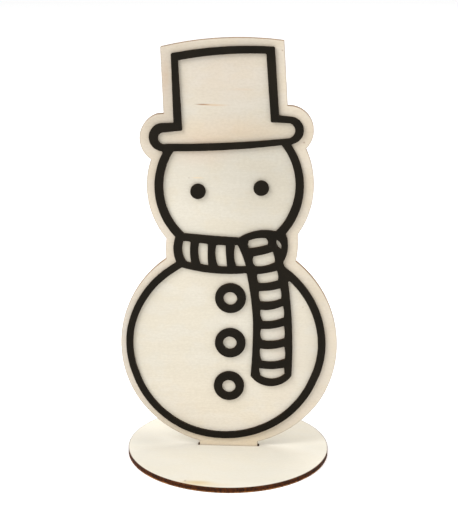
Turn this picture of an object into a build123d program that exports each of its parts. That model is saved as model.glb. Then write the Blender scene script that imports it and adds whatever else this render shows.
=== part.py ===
from build123d import *
from math import cos, radians, sin
import os

# Wooden snowman figure: a flat plywood panel that stands in a round plywood
# base, with a black line drawing of thin laser-cut wood glued on its front.
# Millimetres. +Z is up, the figure faces -Y, and the origin is on the table
# under the middle of the base. Outline points are (x, height above the table).

os.makedirs("parts", exist_ok=True)

# ---- stock sheets ----
PLY = 3.0  # plywood of the panel and the base
VENEER = 0.7  # each outer veneer of that plywood
CORE = PLY - 2 * VENEER
LINE_SHEET = 1.5  # thin sheet of the black pieces
GLUE = 0.1  # adhesive film under the black pieces, cut with them

# ---- base ----
BASE_RADIUS = 55.0
SLOT_CENTRE_X = 0.3
TAB_WIDTH = 32.0
TAB_END_GAP = 0.6  # slot clearance at each end of the tab
TAB_SIDE_GAP = 0.06  # slot clearance on each face of the tab
TAB_HEIGHT = 8.0  # from the table up into the panel's rounded foot

# ---- black line drawing ----
BODY_RING_TILT = 62.0
HEAD_RING_TILT = 50.0
# The body ring looks drawn by hand: (angle from +X, how far it bulges out).
BODY_RING_WAVES = [
    (0, 0.2), (20, 0.05), (45, 0.0), (80, 0.0), (125, -0.35), (150, 0.1), (171, 0.45), (184, 0.22),
    (200, -0.28), (222, -0.1), (247, 0.12), (275, 0.0), (300, 0.0), (320, -0.08), (339, -0.23),
    (350, 0.08),
]
WINDOW_ROUNDING = 0.3
HAT_TOP = 210.0  # corners above this height are the hat's top corners
PANEL_CORNER_ROUNDING = 0.5
HAT_LINE_ROUNDING = 0.8  # outside of the black line at the hat's top corners
HAT_WINDOW_ROUNDING = 0.6
JUNCTION_ROUNDING = 0.7
SHARP_TURN = 20.0  # degrees; a smaller turn between two edges is left alone
TOUCHING = 0.001  # points closer than this are the same point

# ---- loose black pieces ----
EYE_RADIUS = 4.0
EYES = {"eye_left": (-16.7, 146.5), "eye_right": (16.3, 148.8)}
BUTTON_RADIUS = 8.2
BUTTON_HOLE_RADIUS = 3.6
BUTTONS = {
    "button_upper": (0.75, 88.5),
    "button_middle": (0.8, 63.3),
    "button_lower": (0.3, 38.6),
}
# The holes are cut a little off the middle of their buttons.
BUTTON_HOLES = {
    "button_upper": (0.65, 88.35),
    "button_middle": (0.55, 63.35),
    "button_lower": (0.2, 38.35),
}

# ---- planes that the flat pieces are cut on, all facing -Y ----
PANEL_BACK = Plane.XZ.offset(-PLY / 2)
CORE_BACK = Plane.XZ.offset(-CORE / 2)
CORE_FRONT = Plane.XZ.offset(CORE / 2)
PANEL_FRONT = Plane.XZ.offset(PLY / 2)
GLUE_FRONT = Plane.XZ.offset(PLY / 2 + GLUE)


def save(part, name):
    """Name one finished piece and write it to its own file."""
    part.label = name
    export_step(part, f"parts/{name}.step")


def is_hat_top_corner(vertex):
    """True for the corners along the top of the hat, in a flat outline."""
    return vertex.Y > HAT_TOP


def sharp_corners(sketch):
    """Corners of a flat outline where the edge turns sharply."""
    corners = []
    for corner in sketch.vertices():
        leaving = []
        for edge in sketch.edges():
            for end, sense in ((0, 1), (1, -1)):
                if (edge @ end - Vector(corner)).length < TOUCHING:
                    leaving.append((edge % end) * sense)
        if 180 - leaving[0].get_angle(leaving[1]) > SHARP_TURN:
            corners.append(corner)
    return corners


def arc_chain(points):
    """Closed chain of arcs given as corner, point on the arc, corner, ..."""
    for i in range(0, len(points), 2):
        ThreePointArc(points[i], points[i + 1], points[(i + 2) % len(points)])


# ------------------------------------------------------------- round base


def base_layer(bottom, thickness):
    """One veneer or the core of the base, with its share of the slot."""
    with BuildPart() as layer:
        with BuildSketch(Plane.XY.offset(bottom)):
            Circle(BASE_RADIUS)
            with Locations((SLOT_CENTRE_X, 0)):
                Rectangle(TAB_WIDTH + 2 * TAB_END_GAP, PLY + 2 * TAB_SIDE_GAP, mode=Mode.SUBTRACT)
        extrude(amount=thickness)
    return layer.part


save(base_layer(0, VENEER), "base_bottom_veneer")
save(base_layer(VENEER, CORE), "base_core_veneer")
save(base_layer(VENEER + CORE, VENEER), "base_top_veneer")

# ------------------------------------------------------------ figure panel


def panel_outline():
    """Edge of the panel: body, scarf, head, brim and hat, with the tab below."""
    with BuildSketch() as outline:
        with BuildLine():
            ThreePointArc((-33.7, 109.4), (-58.4, 61.5), (-49.5, 30.2))
            ThreePointArc((-49.5, 30.2), (0.0, 3.4), (49.5, 30.2))
            ThreePointArc((49.5, 30.2), (58.25, 61.5), (35.2, 109.3))
            ThreePointArc((35.2, 109.3), (36.1, 117.5), (35.9, 124.1))
            ThreePointArc((35.9, 124.1), (43.7, 149.5), (39.1, 169.8))
            ThreePointArc((39.1, 169.8), (42.9, 179.2), (32.0, 191.9))
            Line((32.0, 191.9), (29.2, 192.1))
            Line((29.2, 192.1), (26.85, 225.0))
            ThreePointArc((26.85, 225.0), (6.0, 226.25), (-36.1, 221.1))
            Line((-36.1, 221.1), (-34.6, 187.0))
            Line((-34.6, 187.0), (-38.2, 186.7))
            ThreePointArc((-38.2, 186.7), (-47.15, 174.0), (-41.3, 162.9))
            ThreePointArc((-41.3, 162.9), (-43.6, 149.0), (-33.5, 120.6))
            ThreePointArc((-33.5, 120.6), (-33.8, 115.0), (-33.7, 109.4))
        make_face()
        fillet(outline.vertices().filter_by(is_hat_top_corner), radius=PANEL_CORNER_ROUNDING)
        with Locations((SLOT_CENTRE_X, TAB_HEIGHT / 2)):
            Rectangle(TAB_WIDTH, TAB_HEIGHT)
    return outline.sketch


def panel_layer(back_plane, thickness):
    """One veneer or the core of the panel."""
    with BuildPart() as layer:
        with BuildSketch(back_plane):
            add(PANEL_OUTLINE)
        extrude(amount=thickness)
    return layer.part


PANEL_OUTLINE = panel_outline()
save(panel_layer(PANEL_BACK, VENEER), "panel_back_veneer")
save(panel_layer(CORE_BACK, CORE), "panel_core_veneer")
save(panel_layer(CORE_FRONT, VENEER), "panel_front_veneer")

# ------------------------------------------- black outline and its scarf


def scarf_area():
    """Whole area of the neck band, the knot and the hanging tail."""
    with BuildSketch() as area:
        with BuildLine():
            ThreePointArc((-28.2, 123.0), (-29.65, 115.8), (-27.8, 107.3))
            Line((-27.8, 107.3), (-26.6, 105.6))
            ThreePointArc((-26.6, 105.6), (-8.0, 102.3), (9.2, 102.7))
            ThreePointArc((9.2, 102.7), (11.75, 88.0), (12.9, 76.0))
            ThreePointArc((12.9, 76.0), (12.85, 61.5), (12.0, 44.8))
            ThreePointArc((12.0, 44.8), (23.0, 39.05), (34.1, 45.3))
            ThreePointArc((34.1, 45.3), (34.15, 67.0), (30.6, 102.0))
            Line((30.6, 102.0), (30.2, 105.3))
            ThreePointArc((30.2, 105.3), (28.9, 107.3), (28.5, 109.3))
            ThreePointArc((28.5, 109.3), (30.8, 117.2), (29.2, 125.2))
            Line((29.2, 125.2), (25.4, 125.5))
            ThreePointArc((25.4, 125.5), (13.5, 125.6), (5.0, 121.9))
            ThreePointArc((5.0, 121.9), (-8.5, 122.6), (-24.9, 123.9))
            Line((-24.9, 123.9), (-28.2, 123.0))
        make_face()
    return area.sketch


BAND_WINDOWS = [
    [(-24.3, 119.6), (-25.0, 114.8), (-22.8, 108.3), (-21.6, 108.0),
     (-20.4, 107.9), (-20.9, 113.5), (-20.7, 119.3), (-22.6, 119.6)],
    [(-16.0, 118.7), (-16.5, 113.5), (-15.3, 107.2), (-13.3, 106.7),
     (-11.2, 106.4), (-11.55, 112.3), (-11.4, 118.3), (-13.7, 118.6)],
    [(-6.9, 117.7), (-7.4, 112.5), (-6.0, 106.1), (-3.7, 105.95),
     (-1.3, 106.0), (-1.85, 112.0), (-2.1, 117.7), (-4.5, 117.85)],
    [(3.05, 117.8), (2.5, 112.5), (3.6, 106.3), (6.2, 106.2),
     (8.75, 106.4), (7.15, 111.4), (4.4, 117.9), (3.7, 118.0)],
]

KNOT_WINDOWS = [
    [(10.3, 120.6), (14.4, 121.8), (19.1, 122.0), (20.15, 120.3),
     (19.95, 118.3), (15.8, 117.2), (10.3, 116.2), (9.8, 118.2)],
    [(12.9, 112.0), (17.6, 113.0), (22.8, 114.7), (23.7, 112.0),
     (23.9, 108.8), (18.8, 106.8), (13.8, 106.4), (12.4, 109.2)],
]

TAIL_WINDOWS = [
    [(14.9, 102.2), (20.2, 103.0), (25.2, 104.3), (25.85, 101.8),
     (25.8, 98.9), (20.8, 97.5), (15.9, 97.1), (14.8, 99.8)],
    [(16.0, 92.9), (21.6, 93.3), (27.2, 94.6), (27.7, 91.8),
     (27.7, 88.7), (22.3, 87.1), (16.7, 87.0), (15.9, 90.0)],
    [(17.0, 82.4), (22.8, 82.7), (28.8, 84.9), (29.4, 81.5),
     (29.3, 78.2), (23.8, 76.3), (18.2, 75.9), (16.9, 79.3)],
    [(17.4, 71.7), (23.4, 72.0), (29.5, 73.6), (29.95, 70.0),
     (29.8, 66.5), (23.8, 64.9), (18.0, 65.1), (17.0, 68.5)],
    [(17.1, 60.5), (23.4, 60.4), (29.9, 61.9), (30.45, 58.3),
     (30.3, 54.8), (24.3, 53.1), (18.0, 53.4), (16.9, 57.0)],
    [(16.7, 49.3), (23.2, 48.85), (30.0, 49.8), (30.2, 48.0),
     (30.2, 46.0), (23.3, 43.1), (17.4, 44.8), (16.8, 47.0)],
]


def scarf_window(corners_and_middles):
    """One four-sided opening between the scarf's stripes, with soft corners."""
    with BuildSketch() as window:
        with BuildLine():
            arc_chain(corners_and_middles)
        make_face()
        fillet(window.vertices(), radius=WINDOW_ROUNDING)
    return window.sketch


def knot_slit():
    """Leaf-shaped slit in the fold at the right of the knot."""
    with BuildSketch() as slit:
        with BuildLine():
            arc_chain([(24.9, 121.2), (26.8, 119.4), (27.2, 116.3), (25.3, 117.9)])
        make_face()
    return slit.sketch


def hat_area():
    """Whole area of the top hat with its rolled brim."""
    with BuildSketch() as area:
        with BuildLine():
            ThreePointArc((-30.6, 217.9), (-4.0, 221.6), (22.1, 221.9))
            Line((22.1, 221.9), (24.9, 187.0))
            Line((24.9, 187.0), (31.3, 186.4))
            ThreePointArc((31.3, 186.4), (37.7, 179.2), (30.7, 172.3))
            ThreePointArc((30.7, 172.3), (0.0, 168.9), (-36.0, 167.6))
            ThreePointArc((-36.0, 167.6), (-42.2, 174.6), (-35.9, 182.1))
            Line((-35.9, 182.1), (-29.35, 182.3))
            Line((-29.35, 182.3), (-30.6, 217.9))
        make_face()
        fillet(area.vertices().filter_by(is_hat_top_corner), radius=HAT_LINE_ROUNDING)
    return area.sketch


def hat_window():
    """Open inside of the crown and the brim."""
    with BuildSketch() as window:
        with BuildLine():
            ThreePointArc((-27.0, 214.5), (-4.5, 217.7), (17.9, 218.4))
            Line((17.9, 218.4), (20.75, 183.5))
            Line((20.75, 183.5), (30.2, 183.2))
            ThreePointArc((30.2, 183.2), (33.35, 179.2), (29.4, 175.1))
            ThreePointArc((29.4, 175.1), (0.0, 172.5), (-33.4, 171.3))
            ThreePointArc((-33.4, 171.3), (-37.55, 174.2), (-34.5, 177.4))
            Line((-34.5, 177.4), (-24.9, 178.5))
            Line((-24.9, 178.5), (-27.0, 214.5))
        make_face()
        fillet(window.vertices().filter_by(is_hat_top_corner), radius=HAT_WINDOW_ROUNDING)
    return window.sketch


def body_ring_edge(centre, long_radius, short_radius):
    """Area inside one edge of the body ring: an ellipse with the ring's slow waves."""
    points = []
    for angle, bulge in BODY_RING_WAVES:
        along = long_radius * sin(radians(angle - BODY_RING_TILT))
        across = short_radius * cos(radians(angle - BODY_RING_TILT))
        radius = long_radius * short_radius / (along**2 + across**2) ** 0.5 + bulge
        points.append((centre[0] + radius * cos(radians(angle)), centre[1] + radius * sin(radians(angle))))
    with BuildSketch() as area:
        with BuildLine():
            arc_chain(points)
        make_face()
    return area.sketch


def drawing():
    """The whole connected line drawing: hat, head ring, scarf and body ring."""
    with BuildSketch() as lines:
        add(body_ring_edge((-1.6, 61.75), 54.15, 53.3))
        with Locations((-0.5, 149.15)):
            Ellipse(39.15, 38.8, rotation=HEAD_RING_TILT)
        add(body_ring_edge((-1.8, 61.6), 50.35, 49.4), mode=Mode.SUBTRACT)
        with Locations((-0.4, 149.45)):
            Ellipse(34.9, 34.25, rotation=HEAD_RING_TILT, mode=Mode.SUBTRACT)
        add(scarf_area())
        add(hat_area())
        add(hat_window(), mode=Mode.SUBTRACT)
        fillet(sharp_corners(lines), radius=JUNCTION_ROUNDING)
        for points in BAND_WINDOWS + KNOT_WINDOWS + TAIL_WINDOWS:
            add(scarf_window(points), mode=Mode.SUBTRACT)
        add(knot_slit(), mode=Mode.SUBTRACT)
    return lines.sketch


DRAWING = drawing()

with BuildPart() as outline_frame:
    with BuildSketch(GLUE_FRONT):
        add(DRAWING)
    extrude(amount=LINE_SHEET)
save(outline_frame.part, "outline_frame")

with BuildPart() as outline_glue:
    with BuildSketch(PANEL_FRONT):
        add(DRAWING)
    extrude(amount=GLUE)
save(outline_glue.part, "outline_glue_film")

# ------------------------------------------------------ eyes and buttons


def eye(centre):
    """Black disc glued on the face."""
    with BuildPart() as disc:
        with BuildSketch(GLUE_FRONT):
            with Locations(centre):
                Circle(EYE_RADIUS)
        extrude(amount=LINE_SHEET)
    return disc.part


def button(centre, hole_centre):
    """Black ring glued on the body."""
    with BuildPart() as ring:
        with BuildSketch(GLUE_FRONT):
            with Locations(centre):
                Circle(BUTTON_RADIUS)
            with Locations(hole_centre):
                Circle(BUTTON_HOLE_RADIUS, mode=Mode.SUBTRACT)
        extrude(amount=LINE_SHEET)
    return ring.part


for name, centre in EYES.items():
    save(eye(centre), name)
for name, centre in BUTTONS.items():
    save(button(centre, BUTTON_HOLES[name]), name)

with BuildPart() as eye_glue:
    with BuildSketch(PANEL_FRONT):
        with Locations(*EYES.values()):
            Circle(EYE_RADIUS)
    extrude(amount=GLUE)
save(eye_glue.part, "eye_glue_dots")

with BuildPart() as button_glue:
    with BuildSketch(PANEL_FRONT):
        with Locations(*BUTTONS.values()):
            Circle(BUTTON_RADIUS)
        with Locations(*BUTTON_HOLES.values()):
            Circle(BUTTON_HOLE_RADIUS, mode=Mode.SUBTRACT)
    extrude(amount=GLUE)
save(button_glue.part, "button_glue_rings")
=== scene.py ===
import math

import bpy
import numpy as np
from mathutils import Matrix, Vector, noise
from mathutils.geometry import delaunay_2d_cdt


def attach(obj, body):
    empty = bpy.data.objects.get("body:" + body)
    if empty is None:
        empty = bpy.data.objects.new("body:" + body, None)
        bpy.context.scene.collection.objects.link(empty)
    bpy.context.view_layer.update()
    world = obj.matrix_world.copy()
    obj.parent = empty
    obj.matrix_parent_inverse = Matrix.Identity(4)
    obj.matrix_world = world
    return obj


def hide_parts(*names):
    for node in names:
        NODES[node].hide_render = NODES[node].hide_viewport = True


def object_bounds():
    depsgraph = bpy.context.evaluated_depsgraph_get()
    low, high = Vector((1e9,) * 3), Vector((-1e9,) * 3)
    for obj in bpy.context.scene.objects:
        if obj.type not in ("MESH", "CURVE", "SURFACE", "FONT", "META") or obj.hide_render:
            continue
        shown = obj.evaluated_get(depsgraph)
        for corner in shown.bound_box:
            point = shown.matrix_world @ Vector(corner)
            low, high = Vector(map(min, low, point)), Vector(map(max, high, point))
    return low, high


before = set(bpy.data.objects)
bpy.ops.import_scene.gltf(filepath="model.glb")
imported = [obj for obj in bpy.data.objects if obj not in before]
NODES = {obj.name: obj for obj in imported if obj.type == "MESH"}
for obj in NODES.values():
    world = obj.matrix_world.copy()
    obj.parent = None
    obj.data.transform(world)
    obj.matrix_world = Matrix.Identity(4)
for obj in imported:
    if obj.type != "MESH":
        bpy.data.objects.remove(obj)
cad_low, cad_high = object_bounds()

# A wooden snowman: laser-cut plywood with a black line drawing on its front. Each sheet's visible
# mesh is made from the outlines of its own CAD node. Outlines are in mm, the scene in metres.
MM = 0.001

# A sheet is drawn in two directions (u, v) and has a height along a third.
UPRIGHT = (Vector((1, 0, 0)), Vector((0, 0, 1)), Vector((0, -1, 0)))
LYING = (Vector((1, 0, 0)), Vector((0, 1, 0)), Vector((0, 0, 1)))

# Fineness of the meshes. Lengths are in mm.
FACING = 0.99  # least cosine between a front face's normal and the height direction
CORNER_TURN = math.radians(18)  # a larger turn in an outline is a corner
POINT_SPACING = 0.4
POINT_TURN = math.radians(10)  # largest turn between two points where an outline curves
EVEN_SIDES = 1.6  # sides of an outline that differ more than this in length stay straight
SHARPEST_REACH = 0.45  # keeps a shifted sharp corner from growing into a spike
EDGE_ROW_SPACING = 0.9
EDGE_ROW_INSET = 0.65
EDGE_ROW_SLACK = 0.9  # share of the inset that a point has to keep from every cut edge
GRID_CLEARANCE = 1.15
GRID_ROW_RATIO = 0.87  # distance between the rows of a staggered grid, as a share of its pitch
EDGE_STEPS = 4  # steps of a rounded rim, and of the wall between the two rims
CHUNK = 2000  # number of points whose distances are found at a time
MERGE_DISTANCE = 1e-6

# Unevenness of a laser cut: slow changes of its line, and fine ridges. Wavelengths are in mm.
SLOW_SEED = 1.0
SLOW_WAVE = 3.0
RIDGE_SEED = 8.0
RIDGE_WAVE = 0.23
RIDGE_SIZE = 0.012
SMALL_HOLE = 20.0  # a hole smaller than this swells shut by a smaller share
SMALL_HOLE_SHARE = 0.4


# ---------------------------------------------------------------- outlines
def cad_outlines(node, view):
    """Closed outlines of a CAD sheet's front face in mm, material on the left, and its two heights."""
    u, v, n = view
    mesh = NODES[node].data
    places = {}
    index = []
    for vert in mesh.vertices:
        key = tuple(round(c / MM, 4) for c in vert.co)
        index.append(places.setdefault(key, len(places)))
    points = [Vector(key) for key in places]
    edges = set()
    for face in mesh.polygons:
        if face.normal.dot(n) > FACING:
            ring = [index[i] for i in face.vertices]
            edges.update(zip(ring, ring[1:] + ring[:1]))
    following = {a: b for a, b in edges if (b, a) not in edges}
    outlines = []
    while following:
        start, step = following.popitem()
        ring = [start]
        while step != start:
            ring.append(step)
            step = following.pop(step)
        outlines.append(np.array([(points[i].dot(u), points[i].dot(v)) for i in ring]))
    outlines.sort(key=lambda ring: (-len(ring), tuple(ring.min(axis=0))))
    outlines = [np.roll(ring, -int(np.lexsort(ring.T)[0]), axis=0) for ring in outlines]
    heights = [p.dot(n) for p in points]
    return outlines, min(heights), max(heights)


def turns(ring):
    """How far the outline turns at each point, in radians."""
    ahead = np.roll(ring, -1, axis=0) - ring
    behind = np.roll(ahead, 1, axis=0)
    cross = behind[:, 0] * ahead[:, 1] - behind[:, 1] * ahead[:, 0]
    return np.arctan2(cross, (behind * ahead).sum(axis=1))


def is_small_hole(ring):
    """Whether an outline is a small hole. The outlines of holes turn clockwise."""
    return np.ptp(ring, axis=0).max() < SMALL_HOLE and turns(ring).sum() < 0


def curve_point(p, q, a, b, t):
    """The point at t from 0 to 1 on the smooth curve from p to q that leaves along a and ends along b."""
    return ((2 * t**3 - 3 * t**2 + 1) * p + (t**3 - 2 * t**2 + t) * a
            + (3 * t**2 - 2 * t**3) * q + (t**3 - t**2) * b)


def resample(ring, step=POINT_SPACING):
    """Evenly spaced points along an outline, closer where it curves. Its corners stay as they are."""
    turn = turns(ring)
    corners = np.flatnonzero(np.abs(turn) > CORNER_TURN)
    if len(corners):
        ring = np.roll(ring, -corners[0], axis=0)
        turn = np.roll(turn, -corners[0])
    sharp = np.abs(turn) > CORNER_TURN
    count = len(ring)
    side = np.roll(ring, -1, axis=0) - ring
    length = np.hypot(*side.T)
    soft_turn = np.where(sharp, 0.0, np.abs(turn))
    cost = length / step + (soft_turn + np.roll(soft_turn, -1)) / 2 / POINT_TURN
    slope = side / length[:, None]
    before = np.roll(length, 1)
    tangent = slope * before[:, None] + np.roll(slope, 1, axis=0) * length[:, None]
    tangent /= np.hypot(*tangent.T)[:, None]
    even = (length / before < EVEN_SIDES) & (before / length < EVEN_SIDES) & ~sharp
    curved = even & np.roll(even, -1)
    starts = list(np.flatnonzero(sharp)) or [0]
    made = []
    for first, last in zip(starts, starts[1:] + [count]):
        total = np.concatenate([[0.0], np.cumsum(cost[first:last])])
        pieces = max(1, round(total[-1]))
        for k in range(pieces):
            target = total[-1] * k / pieces
            i = int(np.searchsorted(total, target, side="right")) - 1
            t = (target - total[i]) / (total[i + 1] - total[i])
            i += first
            j = (i + 1) % count
            if curved[i]:
                made.append(curve_point(ring[i], ring[j], tangent[i] * length[i], tangent[j] * length[i], t))
            else:
                made.append(ring[i] + (ring[j] - ring[i]) * t)
    return np.array(made)


def outward(ring):
    """Outward direction at each point, and how much farther a corner moves than the sides beside it."""
    ahead = np.roll(ring, -1, axis=0) - ring
    ahead /= np.hypot(*ahead.T)[:, None]
    behind = np.roll(ahead, 1, axis=0)
    mean = ahead + behind
    mean /= np.hypot(*mean.T)[:, None]
    reach = np.maximum((mean * ahead).sum(axis=1), SHARPEST_REACH)
    return np.stack([mean[:, 1], -mean[:, 0]], axis=1), 1 / reach


def segment_distance(points, rings):
    """Distance in mm from each point to the nearest outline."""
    best = np.full(len(points), np.inf)
    for ring in rings:
        side = np.roll(ring, -1, axis=0) - ring
        square = (side * side).sum(axis=1)
        for start in range(0, len(points), CHUNK):
            offset = points[start:start + CHUNK, None, :] - ring[None]
            t = np.clip((offset * side[None]).sum(axis=2) / square[None], 0, 1)
            gap = offset - t[..., None] * side[None]
            near = np.sqrt((gap * gap).sum(axis=2).min(axis=1))
            best[start:start + CHUNK] = np.minimum(best[start:start + CHUNK], near)
    return best


def inside(points, rings):
    """Whether each point is in the material: inside an odd number of outlines."""
    odd = np.zeros(len(points), bool)
    px, py = points.T
    for ring in rings:
        for (ax, ay), (bx, by) in zip(ring, np.roll(ring, -1, axis=0)):
            rows = np.flatnonzero((ay > py) != (by > py))
            if len(rows):
                crossing = (bx - ax) * (py[rows] - ay) / (by - ay) + ax
                odd[rows] ^= px[rows] < crossing
    return odd


def material_triangles(triangles, links):
    """The triangles in the material, found by spreading out from the left side of each outline."""
    owner = {}
    for k, (a, b, c) in enumerate(triangles):
        owner[a, b] = owner[b, c] = owner[c, a] = k
    walls = set(links)
    reached = {owner[link] for link in links if link in owner}
    waiting = list(reached)
    while waiting:
        a, b, c = triangles[waiting.pop()]
        for edge in ((a, b), (b, c), (c, a)):
            other = owner.get(edge[::-1])
            if edge not in walls and other is not None and other not in reached:
                reached.add(other)
                waiting.append(other)
    return [triangles[k] for k in sorted(reached)]


def grid_points(rings, pitch):
    """A staggered grid of points in the material, clear of the outlines, with their distance to them."""
    low = np.min([r.min(axis=0) for r in rings], axis=0)
    high = np.max([r.max(axis=0) for r in rings], axis=0)
    points = []
    for k, y in enumerate(np.arange(low[1], high[1], pitch * GRID_ROW_RATIO)):
        for x in np.arange(low[0] + (k % 2) * pitch / 2, high[0], pitch):
            points.append((x, y))
    points = np.array(points)
    points = points[inside(points, rings)]
    depth = segment_distance(points, rings)
    return points[depth > GRID_CLEARANCE], depth[depth > GRID_CLEARANCE]


def edge_row(rings):
    """Points that follow each outline just inside it, for a fine mesh along the cut, with their distance."""
    rows = []
    for ring in rings:
        points = resample(ring, EDGE_ROW_SPACING)
        direction, reach = outward(points)
        rows.append(points - direction * reach[:, None] * EDGE_ROW_INSET)
    points = np.concatenate(rows)
    depth = segment_distance(points, rings)
    kept = inside(points, rings) & (depth > EDGE_ROW_INSET * EDGE_ROW_SLACK)
    return points[kept], depth[kept]


# ---------------------------------------------------------------- laser-cut sheets
def ripple(ring, seed, size, wave):
    """A smooth unevenness along an outline, from -size to size, in mm."""
    return np.array([size * noise.noise(Vector((x / wave, y / wave, seed))) for x, y in ring])


def profile(thick, front, back, hollow):
    """(inset, height, tilt of the surface) up the cut edge, from the back face to the front face."""
    rows = []
    for k in range(EDGE_STEPS + 1):
        a = math.pi / 2 * (k / EDGE_STEPS - 1)
        rows.append((back * (1 - math.cos(a)), back * (1 + math.sin(a)), a))
    for k in range(1, EDGE_STEPS):
        height = back + (thick - front - back) * k / EDGE_STEPS
        rows.append((hollow * math.sin(math.pi * k / EDGE_STEPS), height, 0.0))
    for k in range(EDGE_STEPS + 1):
        a = math.pi / 2 * k / EDGE_STEPS
        rows.append((front * (1 - math.cos(a)), thick - front * (1 - math.sin(a)), a))
    return rows


class SheetMesh:
    """The mesh of one sheet: a wall up each cut edge first, and then the front and the back face."""

    def __init__(self, view):
        self.u, self.v, self.n = (np.array(axis) for axis in view)
        self.points = []
        self.normals = []
        self.rim = []
        self.faces = []
        self.is_wall = []
        self.walls = []  # for each wall: first point of its lowest row and of its highest, points in a row

    def place(self, x, y, height):
        return x * self.u + y * self.v + height * self.n

    def drawn_flat(self, points):
        """The (u, v) coordinates of some points."""
        points = np.array(points)
        return np.stack([points @ self.u, points @ self.v], axis=1)

    def add_wall(self, ring, rows, low, shift, fine):
        """The cut edge along an outline. Shift moves all of it inwards, and fine its upright part."""
        direction, reach = outward(ring)
        first = len(self.points)
        size = len(ring)
        for inset, height, tilt in rows:
            upright = math.cos(tilt)
            inward = (shift + inset) * reach + fine * upright
            self.rim += [inset] * size
            for (x, y), d in zip(ring - direction * inward[:, None], direction):
                self.points.append(self.place(x, y, low + height))
                self.normals.append((d[0] * self.u + d[1] * self.v) * upright + self.n * math.sin(tilt))
        for r in range(len(rows) - 1):
            a = first + r * size
            b = a + size
            for i in range(size):
                j = (i + 1) % size
                self.faces.append((a + i, a + j, b + j, b + i))
                self.is_wall.append(True)
        self.walls.append((first, first + (len(rows) - 1) * size, size))

    def triangulate(self, inner):
        """Triangles of a face. They count its points along the walls and then through the inner points."""
        edge = [self.drawn_flat(self.points[top:top + size]) for _, top, size in self.walls]
        links = []
        start = 0
        for ring in edge:
            size = len(ring)
            links += [(start + i, start + (i + 1) % size) for i in range(size)]
            start += size
        flat = np.concatenate(edge + [inner])
        made = delaunay_2d_cdt([Vector(p) for p in flat], links, [], 1, MERGE_DISTANCE)
        source = [ids[0] for ids in made[3]]
        return material_triangles([tuple(source[i] for i in tri) for tri in made[2]], links)

    def add_faces(self, inner, depth, low, high):
        """The front and the back face, with one triangulation for both."""
        triangles = self.triangulate(inner)
        for is_front, height in ((True, high), (False, low)):
            lookup = []
            for bottom, top, size in self.walls:
                begin = top if is_front else bottom
                lookup += range(begin, begin + size)
            lookup += range(len(self.points), len(self.points) + len(inner))
            for x, y in inner:
                self.points.append(self.place(x, y, height))
                self.normals.append(self.n if is_front else -self.n)
            self.rim += list(depth)
            for a, b, c in triangles:
                tri = (lookup[a], lookup[b], lookup[c])
                self.faces.append(tri if is_front else tri[::-1])
                self.is_wall.append(False)

    def depth_in(self, rings):
        """How deep in mm each point is inside other outlines. It is negative outside them."""
        flat = self.drawn_flat(self.points)
        depth = segment_distance(flat, rings)
        depth[~inside(flat, rings)] *= -1
        return depth

    def finish(self, name, drawn):
        """The Blender mesh, with material 0 on its faces and material 1 on its walls."""
        mesh = bpy.data.meshes.new(name)
        mesh.from_pydata([Vector(p) * MM for p in self.points], [], self.faces)
        mesh.polygons.foreach_set("use_smooth", [True] * len(self.faces))
        mesh.polygons.foreach_set("material_index", [int(w) for w in self.is_wall])
        mesh.attributes.new("rim", "FLOAT", "POINT").data.foreach_set("value", self.rim)
        if drawn is not None:
            depth = self.depth_in(drawn)
            mesh.attributes.new("drawn", "FLOAT", "POINT").data.foreach_set("value", depth)
        mesh.update()
        mesh.normals_split_custom_set_from_vertices([Vector(p).normalized() for p in self.normals])
        return mesh


def cut_sheet(name, node, view, body, slot, front, back, hollow=0.0, swell=0.0, uneven=0.03,
              pitch=2.2, drawn=None):
    """The visible form of a laser-cut sheet that stands for one CAD node.

    Its cut edge has rounded rims, a slightly hollow wall and fine ridges left by the laser.
    The attribute rim is the distance to the cut edge, and drawn the depth inside the black
    drawing, both in mm.
    """
    outlines, low, high = cad_outlines(node, view)
    rows = profile(high - low, front, back, hollow)
    sheet = SheetMesh(view)
    for ring in [resample(outline) for outline in outlines]:
        share = SMALL_HOLE_SHARE if is_small_hole(ring) else 1.0
        shift = uneven + ripple(ring, SLOW_SEED, uneven, SLOW_WAVE) - swell * share
        fine = ripple(ring, RIDGE_SEED, RIDGE_SIZE, RIDGE_WAVE)
        sheet.add_wall(ring, rows, low, shift, fine)
    near, near_depth = edge_row(outlines)
    far, far_depth = grid_points(outlines, pitch)
    sheet.add_faces(np.concatenate([near, far]), np.concatenate([near_depth, far_depth]), low, high)
    piece = bpy.data.objects.new(name, sheet.finish(name, drawn))
    bpy.context.scene.collection.objects.link(piece)
    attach(piece, body)
    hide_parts(node)
    return piece


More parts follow.
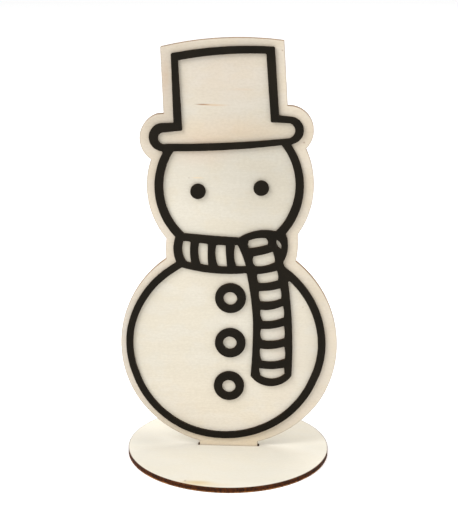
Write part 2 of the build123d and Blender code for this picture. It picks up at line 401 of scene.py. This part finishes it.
# ---------------------------------------------------------------- node materials
class Paint:
    """A small helper that builds one node material."""

    def __init__(self, name):
        self.material = bpy.data.materials.new(name)
        self.material.use_nodes = True
        self.tree = self.material.node_tree
        self.shader = self.tree.nodes["Principled BSDF"]
        self.place = self.add("ShaderNodeTexCoord").outputs["Object"]

    def add(self, kind, **settings):
        node = self.tree.nodes.new(kind)
        for key, value in settings.items():
            setattr(node, key, value)
        return node

    def put(self, value, socket):
        if isinstance(value, bpy.types.NodeSocket):
            self.tree.links.new(value, socket)
        else:
            socket.default_value = value

    def math(self, operation, a, b=0.0, clamp=False):
        node = self.add("ShaderNodeMath", operation=operation, use_clamp=clamp)
        self.put(a, node.inputs[0])
        self.put(b, node.inputs[1])
        return node.outputs[0]

    def grain(self, frequency, detail, roughness=0.5, shift=(0, 0, 0)):
        """Noise from 0 to 1, with its own frequency, per metre, along each direction."""
        mapping = self.add("ShaderNodeMapping")
        mapping.inputs["Scale"].default_value = frequency
        mapping.inputs["Location"].default_value = shift
        self.put(self.place, mapping.inputs["Vector"])
        node = self.add("ShaderNodeTexNoise")
        node.inputs["Scale"].default_value = 1.0
        node.inputs["Detail"].default_value = detail
        node.inputs["Roughness"].default_value = roughness
        self.put(mapping.outputs[0], node.inputs["Vector"])
        return node.outputs["Fac"]

    def ramp(self, value, low, high, start=0.0, end=1.0, smooth=True):
        """Start where the value is low, end where it is high, and a steady change in between."""
        node = self.add("ShaderNodeMapRange", interpolation_type="SMOOTHSTEP" if smooth else "LINEAR")
        for socket, number in zip(node.inputs[:5], (value, low, high, start, end)):
            self.put(number, socket)
        return node.outputs[0]

    def sway(self, value, size, low=0.3):
        """Noise from 0 to 1 turned into noise from -size to size."""
        return self.ramp(value, low, 1 - low, -size, size, smooth=False)

    def mix(self, factor, a, b, blend="MIX"):
        node = self.add("ShaderNodeMix", data_type="RGBA", blend_type=blend)
        self.put(factor, node.inputs[0])
        self.put(a, node.inputs[6])
        self.put(b, node.inputs[7])
        return node.outputs[2]

    def attribute(self, name):
        return self.add("ShaderNodeAttribute", attribute_name=name).outputs["Fac"]

    def spot(self, centre, radii):
        """1 in the middle of a soft oval mark, 0 outside it. Centre and radii are in mm."""
        mapping = self.add("ShaderNodeMapping")
        mapping.inputs["Scale"].default_value = [1 / (r * MM) for r in radii]
        mapping.inputs["Location"].default_value = [-c / r for c, r in zip(centre, radii)]
        self.put(self.place, mapping.inputs["Vector"])
        length = self.add("ShaderNodeVectorMath", operation="LENGTH")
        self.put(mapping.outputs[0], length.inputs[0])
        return self.ramp(length.outputs["Value"], 1.0, 0.0)

    def bump(self, height, distance, strength):
        node = self.add("ShaderNodeBump")
        node.inputs["Strength"].default_value = strength
        node.inputs["Distance"].default_value = distance
        self.put(height, node.inputs["Height"])
        self.put(node.outputs[0], self.shader.inputs["Normal"])

    def finish(self, colour, roughness, specular):
        self.put(colour, self.shader.inputs["Base Color"])
        self.put(roughness, self.shader.inputs["Roughness"])
        self.shader.inputs["Specular IOR Level"].default_value = specular
        return self.material


def rgb(*levels):
    """A colour given as 0-255 display levels, in linear values."""
    return [((c / 255 + 0.055) / 1.055) ** 2.4 if c > 10 else c / 3294.6 for c in levels] + [1.0]


WOOD_CREAM = rgb(210, 204, 190)
WOOD_TAN = rgb(207, 197, 181)
# painted light: the base's cream is lighter than the panel's, for the light on its upward face
BASE_CREAM_PAINTED_LIGHTER = rgb(228, 223, 210)
MARK_BROWN = rgb(120, 80, 48)
SCORCH = rgb(96, 62, 38)


def along_x(along, across):
    """Frequencies of a pattern that is stretched along X."""
    return (along, across, across)


def with_painted_shading(p, colour, painted_shading):
    """Painted light and shade: broad, soft changes of brightness across a sheet where light falls unevenly.
    Each is an oval with a multiplier for the colour.
    """
    for centre, radii, factor in painted_shading:
        colour = p.mix(p.spot(centre, radii), colour, (*factor, 1.0), "MULTIPLY")
    return colour


def veneer(name, seed, drawn=False, marks=(), painted_shading=(), margin_painted_shading=(), cream=WOOD_CREAM,
           figure=1.0, scorch=0.5):
    """A pale veneer face with its grain along X, a scorched rim, a few natural marks and ovals of painted
    light and shade.

    The figure is how strongly its grain shows, and the scorch how dark its rim is. A drawn
    veneer has a tan margin round the black drawing.
    """
    p = Paint(name)
    shift = (seed * 3.1, seed * 1.7, seed * 2.3)
    broad = p.grain(along_x(9, 28), 2.0, 0.5, shift)
    bands = p.grain(along_x(22, 200), 3.0, 0.6, shift)
    fibre = p.grain(along_x(130, 1500), 3.0, 0.65, shift)
    fleck = p.grain(along_x(600, 1100), 2.0, 0.6, shift)
    warmth = p.grain(along_x(60, 110), 3.0, 0.6, shift[::-1])
    pores = p.grain(along_x(320, 3000), 1.0, 0.5, shift)
    tone = p.math("ADD", p.sway(broad, 0.6), p.sway(bands, 0.2))
    tone = p.math("ADD", tone, p.sway(fibre, 0.4))
    tone = p.math("ADD", tone, p.sway(fleck, 0.65))
    tone = p.math("MULTIPLY", tone, figure)
    pore = p.ramp(pores, 0.68, 0.78)
    # painted light and shade on the cream, and on the tan margin
    colour = with_painted_shading(p, cream, painted_shading)
    if drawn:
        margin = with_painted_shading(p, WOOD_TAN, margin_painted_shading)
        colour = p.mix(p.ramp(p.attribute("drawn"), 0.6, 3.6), margin, colour)
    # grain and pores
    dark = p.mix(1.0, colour, (0.945, 0.935, 0.915, 1.0), "MULTIPLY")
    pale = p.mix(1.0, colour, (1.03, 1.03, 1.03, 1.0), "MULTIPLY")
    colour = p.mix(p.ramp(tone, -1.2, 1.2), dark, pale)
    warm = p.mix(1.0, colour, (1.0, 0.985, 0.955, 1.0), "MULTIPLY")
    colour = p.mix(p.ramp(warmth, 0.38, 0.62, 0.0, figure), colour, warm)
    colour = p.mix(p.math("MULTIPLY", pore, 0.07 * figure), colour, MARK_BROWN)
    # streaks, specks and stains
    for centre, radii, strength, shade in marks:
        colour = p.mix(p.math("MULTIPLY", p.spot(centre, radii), strength), colour, shade)
    # smoke and scorch beside the laser cut
    rim = p.attribute("rim")
    smoke = p.math("MULTIPLY", p.ramp(rim, 1.6, 0.0), 0.10)
    colour = p.mix(smoke, colour, WOOD_TAN)
    burn = p.math("MULTIPLY", p.ramp(rim, 0.2 + 0.44 * scorch, 0.02), scorch)
    colour = p.mix(burn, colour, SCORCH)
    height = p.math("ADD", p.math("MULTIPLY", fibre, 0.6), p.math("MULTIPLY", pore, -0.5))
    p.bump(height, 0.04 * MM, 0.5)
    return p.finish(colour, p.ramp(fibre, 0.3, 0.7, 0.62, 0.74, False), 0.25)


def cut_edge(name, dark, light, seed, lean=0.5, ridges=(2600, 2600, 2600), contrast=0.3):
    """A laser-browned cut edge: uneven char with fine ridges, given as their number per metre.

    The lean is how far the whole goes towards the light colour, and the contrast how much the
    ridges show.
    """
    p = Paint(name)
    shift = (seed * 2.9, seed * 4.1, seed * 1.3)
    patches = p.grain((110, 110, 110), 3.0, 0.6, shift)
    ridge = p.grain(ridges, 2.0, 0.6, shift)
    fact = p.math("ADD", p.sway(patches, 0.3, 0.35), p.sway(ridge, contrast, 0.35))
    fact = p.math("ADD", fact, lean, clamp=True)
    colour = p.mix(fact, dark, light)
    p.bump(ridge, 0.06 * MM, 0.6)
    return p.finish(colour, p.ramp(ridge, 0.3, 0.7, 0.75, 0.9, False), 0.15)


def black_face(name):
    """Matt black paint on fine board, with a faint orange-peel, dusty specks and worn rims."""
    p = Paint(name)
    cloud = p.grain((60, 60, 60), 2.0)
    speck = p.grain((1700, 1700, 1700), 2.0, 0.6)
    clouds = p.ramp(cloud, 0.3, 0.7, 0.0, 0.5, False)
    specks = p.ramp(speck, 0.45, 0.75, 0.0, 0.6, False)
    colour = p.mix(p.math("ADD", clouds, specks, clamp=True), rgb(20, 17, 11), rgb(33, 28, 20))
    rim = p.ramp(p.attribute("rim"), 0.4, 0.05)
    worn = p.math("MULTIPLY", rim, p.ramp(speck, 0.35, 0.65, 0.1, 0.5, False))
    colour = p.mix(worn, colour, rgb(52, 38, 25))
    p.bump(speck, 0.05 * MM, 0.5)
    return p.finish(colour, p.ramp(speck, 0.3, 0.7, 0.6, 0.78, False), 0.08)


def adhesive_face():
    """Thin dried glue, pale and slightly yellow."""
    p = Paint("dried_adhesive")
    cloud = p.grain((900, 900, 900), 2.0)
    colour = p.mix(cloud, rgb(176, 160, 126), rgb(206, 194, 162))
    p.bump(cloud, 0.03 * MM, 0.4)
    return p.finish(colour, p.ramp(cloud, 0.3, 0.7, 0.35, 0.5, False), 0.5)


# ---------------------------------------------------------------- marks of the wood, and painted light and shade
# A mark is (centre, radii, strength, colour) and a painted light or shade is (centre, radii, multiplier), in
# mm.
# THROUGH and WIDE are radii across the sheet's thickness, where nothing should change.
PANEL_FRONT = -1.5
BASE_TOP = 3.0
THROUGH = 5
WIDE = 50
panel_marks = [
    ((-14.3, PANEL_FRONT, 192.0), (5.6, THROUGH, 0.55), 0.85, MARK_BROWN),
    ((-9.0, PANEL_FRONT, 191.8), (11.0, THROUGH, 0.9), 0.45, rgb(190, 150, 100)),
    ((-17.0, PANEL_FRONT, 153.6), (4.5, THROUGH, 0.7), 0.45, rgb(226, 196, 150)),
    ((-33.5, PANEL_FRONT, 205.0), (3.5, THROUGH, 14.0), 0.22, rgb(186, 146, 108)),
    ((6.0, PANEL_FRONT, 200.0), (9.0, THROUGH, 1.0), 0.22, rgb(196, 164, 124)),
    ((26.0, PANEL_FRONT, 220.0), (0.7, THROUGH, 0.7), 0.5, MARK_BROWN),
    ((38.0, PANEL_FRONT, 173.0), (0.8, THROUGH, 0.7), 0.55, MARK_BROWN),
    ((39.5, PANEL_FRONT, 84.0), (0.6, THROUGH, 0.5), 0.4, MARK_BROWN),
    ((-21.5, PANEL_FRONT, 153.5), (0.5, THROUGH, 0.5), 0.4, MARK_BROWN),
]
base_marks = [
    ((-14.0, -49.2, BASE_TOP), (12.0, 3.4, THROUGH), 0.6, rgb(206, 176, 116)),
    ((-14.0, -51.5, BASE_TOP), (24.0, 4.0, THROUGH), 0.45, rgb(220, 196, 144)),
    ((-20.2, -47.8, BASE_TOP), (1.1, 1.8, THROUGH), 0.4, MARK_BROWN),
]
# Painted light and shade on the front veneer: the hat and the right side darker, the foot brighter, warmer
# under the brim, and a painted shadow below the scarf.
panel_painted_shading = [
    ((-2, PANEL_FRONT, 205), (90, 90, 100), (0.86, 0.86, 0.86)),
    ((22, PANEL_FRONT, 155), (48, WIDE, 60), (0.87, 0.87, 0.87)),
    ((-3, PANEL_FRONT, 208), (48, WIDE, 36), (1.0, 0.955, 0.945)),
    ((0, PANEL_FRONT, 177.5), (60, WIDE, 13), (1.03, 0.94, 0.86)),
    ((0, PANEL_FRONT, 5), (100, WIDE, 60), (1.17, 1.145, 1.14)),
    ((31, PANEL_FRONT, 60), (12, WIDE, 45), (0.93, 0.90, 0.90)),
    ((44, PANEL_FRONT, 60), (8, WIDE, 30), (0.93, 0.92, 0.92)),
    ((0, PANEL_FRONT, 97), (40, WIDE, 13), (0.94, 0.93, 0.92)),
    ((-16, PANEL_FRONT, 168), (26, WIDE, 12), (1.02, 0.94, 0.91)),
]
# Painted light and shade on the tan margin: darker beside the hat, at its top and right of the brim,
# brighter along the foot, the lower right and the left of the body.
panel_margin_painted_shading = [
    ((-38, PANEL_FRONT, 200), (30, WIDE, 60), (0.82, 0.81, 0.81)),
    ((0, PANEL_FRONT, 224), (40, WIDE, 10), (0.92, 0.92, 0.92)),
    ((45, PANEL_FRONT, 178), (14, WIDE, 16), (0.92, 0.90, 0.88)),
    ((0, PANEL_FRONT, 4), (46, WIDE, 13), (1.24, 1.19, 1.10)),
    ((-58, PANEL_FRONT, 62), (14, WIDE, 45), (1.0, 1.03, 1.09)),
    ((44, PANEL_FRONT, 12), (30, WIDE, 30), (1.10, 1.08, 1.07)),
]
# Painted light and shade on the base top: brighter behind the panel and at the back right, darker in bands
# beside the panel's foot, at the left and at the front right.
base_painted_shading = [
    ((-46, 4, BASE_TOP), (26, 22, WIDE), (0.86, 0.855, 0.86)),
    ((50, -4, BASE_TOP), (20, 18, WIDE), (0.92, 0.92, 0.92)),
    ((0, 52, BASE_TOP), (80, 50, WIDE), (1.07, 1.06, 1.06)),
    ((52, 22, BASE_TOP), (40, 26, WIDE), (1.10, 1.09, 1.08)),
    ((50, 0, BASE_TOP), (30, 8, WIDE), (0.95, 0.955, 0.95)),
    ((-48, 0, BASE_TOP), (26, 10, WIDE), (0.95, 0.955, 0.945)),
    ((30, -45, BASE_TOP), (45, 30, WIDE), (0.93, 0.935, 0.935)),
]

# ---------------------------------------------------------------- the pieces
front_wood = veneer("pale_veneer_front", 1.0, True, panel_marks, panel_painted_shading, panel_margin_painted_shading,
                    figure=1.25)
back_wood = veneer("pale_veneer_back", 5.0)
base_wood = veneer("pale_veneer_base", 9.0, marks=base_marks, painted_shading=base_painted_shading, cream=BASE_CREAM_PAINTED_LIGHTER,
                   figure=0.5, scorch=0.85)
under_wood = veneer("pale_veneer_underside", 13.0)
BASE_RIDGES = dict(ridges=(1500, 1500, 130), contrast=0.6)  # upright streaks
base_char = cut_edge("charred_base_edge", rgb(30, 12, 3), rgb(98, 52, 16), 2.0, 0.4, **BASE_RIDGES)
base_core_char = cut_edge("charred_base_core_edge", rgb(32, 12, 1), rgb(78, 36, 7), 3.0, 0.4,
                          **BASE_RIDGES)
# painted light: the bottom ply's charred edge is painted paler than the top ply's, for light bounced up from
# the floor
floor_lit_char = cut_edge("floor_lit_charred_edge", rgb(80, 44, 14), rgb(158, 106, 54), 4.0, 0.5,
                      **BASE_RIDGES)
char = cut_edge("browned_panel_edge", rgb(122, 96, 70), rgb(176, 148, 118), 5.0)
core_char = cut_edge("browned_panel_core_edge", rgb(108, 84, 60), rgb(160, 130, 102), 7.0)
black = black_face("matt_black_paint")
black_side = cut_edge("black_cut_edge", rgb(24, 18, 13), rgb(52, 37, 25), 6.0, 0.35)

# The drawing's silhouette is its tallest outline.
drawing_outlines, _, _ = cad_outlines("outline_frame", UPRIGHT)
silhouette = [max(drawing_outlines, key=lambda ring: np.ptp(ring[:, 1]))]

FRONT_LAYER = dict(front=0.14, back=0.04)
CORE_LAYER = dict(front=0.04, back=0.04, hollow=0.06, pitch=8.0)
BACK_LAYER = dict(front=0.04, back=0.14)
BLACK_SHAPE = dict(front=0.2, back=0.08, hollow=0.04, swell=0.11, uneven=0.06, pitch=1.6)
# (piece, node, view, body, slot, face material, edge material, shape)
sheets = [
    ("panel_front_face", "panel_front_veneer", UPRIGHT, "figure", "plywood_face", front_wood, char,
     dict(FRONT_LAYER, drawn=silhouette)),
    ("panel_core", "panel_core_veneer", UPRIGHT, "figure", "plywood_core", back_wood, core_char,
     CORE_LAYER),
    ("panel_back_face", "panel_back_veneer", UPRIGHT, "figure", "plywood_face", back_wood, char,
     BACK_LAYER),
    ("base_top_face", "base_top_veneer", LYING, "base", "plywood_face", base_wood, base_char,
     FRONT_LAYER),
    ("base_core", "base_core_veneer", LYING, "base", "plywood_core", under_wood, base_core_char,
     CORE_LAYER),
    ("base_bottom_face", "base_bottom_veneer", LYING, "base", "plywood_face", under_wood, floor_lit_char,
     BACK_LAYER),
    ("black_outline", "outline_frame", UPRIGHT, "figure", "black_paint", black, black_side,
     BLACK_SHAPE),
]
for node in ("eye_left", "eye_right", "button_upper", "button_middle", "button_lower"):
    sheets.append(("black_" + node, node, UPRIGHT, "figure", "black_paint", black, black_side,
                   BLACK_SHAPE))

for name, node, view, body, slot, face, edge, shape in sheets:
    piece = cut_sheet(name, node, view, body, slot, **shape)
    piece.data.materials.append(face)
    piece.data.materials.append(edge)

glue = adhesive_face()
for node in ("outline_glue_film", "eye_glue_dots", "button_glue_rings"):
    for material_slot in NODES[node].material_slots:
        material_slot.material = glue

# ---------------------------------------------------------------- floor, light and camera
FLOOR_REACH = 9.0
FLOOR_RINGS = 24
FLOOR_SEGMENTS = 96
FLOOR_GLOW = 0.28  # keeps the far floor as white as the near floor
CAMERA_PLACE = Vector((28.1, -656.4, 293.6)) * MM
CAMERA_HEADING = math.radians(2.477)  # to the left
CAMERA_PITCH = math.radians(15.92)  # downwards
CAMERA_ROLL = math.radians(0.45)  # anticlockwise
CAMERA_LENS = 87.24
SURROUND_STRENGTH = 0.62


def floor():
    """A wide pale floor just under the base. Its rings are closer together near the middle."""
    mesh = bpy.data.meshes.new("studio_floor")
    verts = [(0, 0, cad_low.z)]
    faces = []
    for r in range(1, FLOOR_RINGS + 1):
        radius = FLOOR_REACH * (r / FLOOR_RINGS) ** 2
        for s in range(FLOOR_SEGMENTS):
            a = 2 * math.pi * s / FLOOR_SEGMENTS
            verts.append((radius * math.cos(a), radius * math.sin(a), cad_low.z))
    for s in range(FLOOR_SEGMENTS):
        t = (s + 1) % FLOOR_SEGMENTS
        faces.append((0, 1 + s, 1 + t))
        for r in range(FLOOR_RINGS - 1):
            a = 1 + r * FLOOR_SEGMENTS
            b = a + FLOOR_SEGMENTS
            faces.append((a + s, b + s, b + t, a + t))
    mesh.from_pydata(verts, [], faces)
    piece = bpy.data.objects.new("studio_floor", mesh)
    bpy.context.scene.collection.objects.link(piece)
    p = Paint("pale_floor")
    cloud = p.grain((3, 3, 3), 2.0)
    colour = p.mix(cloud, (0.93, 0.93, 0.93, 1), (0.95, 0.95, 0.95, 1))
    p.shader.inputs["Emission Color"].default_value = (1, 1, 1, 1)
    p.shader.inputs["Emission Strength"].default_value = FLOOR_GLOW
    p.finish(colour, 0.9, 0.1)
    mesh.materials.append(p.material)


def soft_box(name, azimuth, elevation, energy, distance=3.0, size=1.6):
    """A square soft box that faces the figure. Azimuth 0 is in front and positive is to the right."""
    turn, rise = math.radians(azimuth), math.radians(elevation)
    away = Vector((math.sin(turn) * math.cos(rise), -math.cos(turn) * math.cos(rise), math.sin(rise)))
    data = bpy.data.lights.new(name, "AREA")
    data.shape = "SQUARE"
    data.size = size
    data.energy = energy
    lamp = bpy.data.objects.new(name, data)
    lamp.location = Vector((0, 0, (cad_low.z + cad_high.z) / 2)) + away * distance
    lamp.rotation_euler = away.to_track_quat("Z", "Y").to_euler()
    bpy.context.scene.collection.objects.link(lamp)


def camera():
    """The viewpoint: a little to the right, looking down on the figure."""
    ahead = Vector((
        -math.sin(CAMERA_HEADING) * math.cos(CAMERA_PITCH),
        math.cos(CAMERA_HEADING) * math.cos(CAMERA_PITCH),
        -math.sin(CAMERA_PITCH),
    ))
    side = Vector((math.cos(CAMERA_HEADING), math.sin(CAMERA_HEADING), 0))
    top = side.cross(ahead)
    right = side * math.cos(CAMERA_ROLL) + top * math.sin(CAMERA_ROLL)
    up = top * math.cos(CAMERA_ROLL) - side * math.sin(CAMERA_ROLL)
    data = bpy.data.cameras.new("camera")
    data.lens = CAMERA_LENS
    data.sensor_width = 36.0
    data.clip_start = 0.05
    data.clip_end = 50
    eye = bpy.data.objects.new("camera", data)
    turn = Matrix((right, up, -ahead)).transposed().to_4x4()
    eye.matrix_world = Matrix.Translation(CAMERA_PLACE) @ turn
    bpy.context.scene.collection.objects.link(eye)
    bpy.context.scene.camera = eye


def surroundings():
    """Even white light from all round."""
    world = bpy.data.worlds.new("studio")
    world.use_nodes = True
    back = world.node_tree.nodes["Background"]
    back.inputs["Color"].default_value = (1, 1, 1, 1)
    back.inputs["Strength"].default_value = SURROUND_STRENGTH
    bpy.context.scene.world = world


floor()
camera()
soft_box("key_light", azimuth=-52, elevation=42, energy=12.0, distance=1.3, size=0.7)
soft_box("side_light", azimuth=75, elevation=48, energy=18)
soft_box("back_light", azimuth=150, elevation=58, energy=26)
surroundings()
bpy.context.scene.view_settings.view_transform = "Standard"
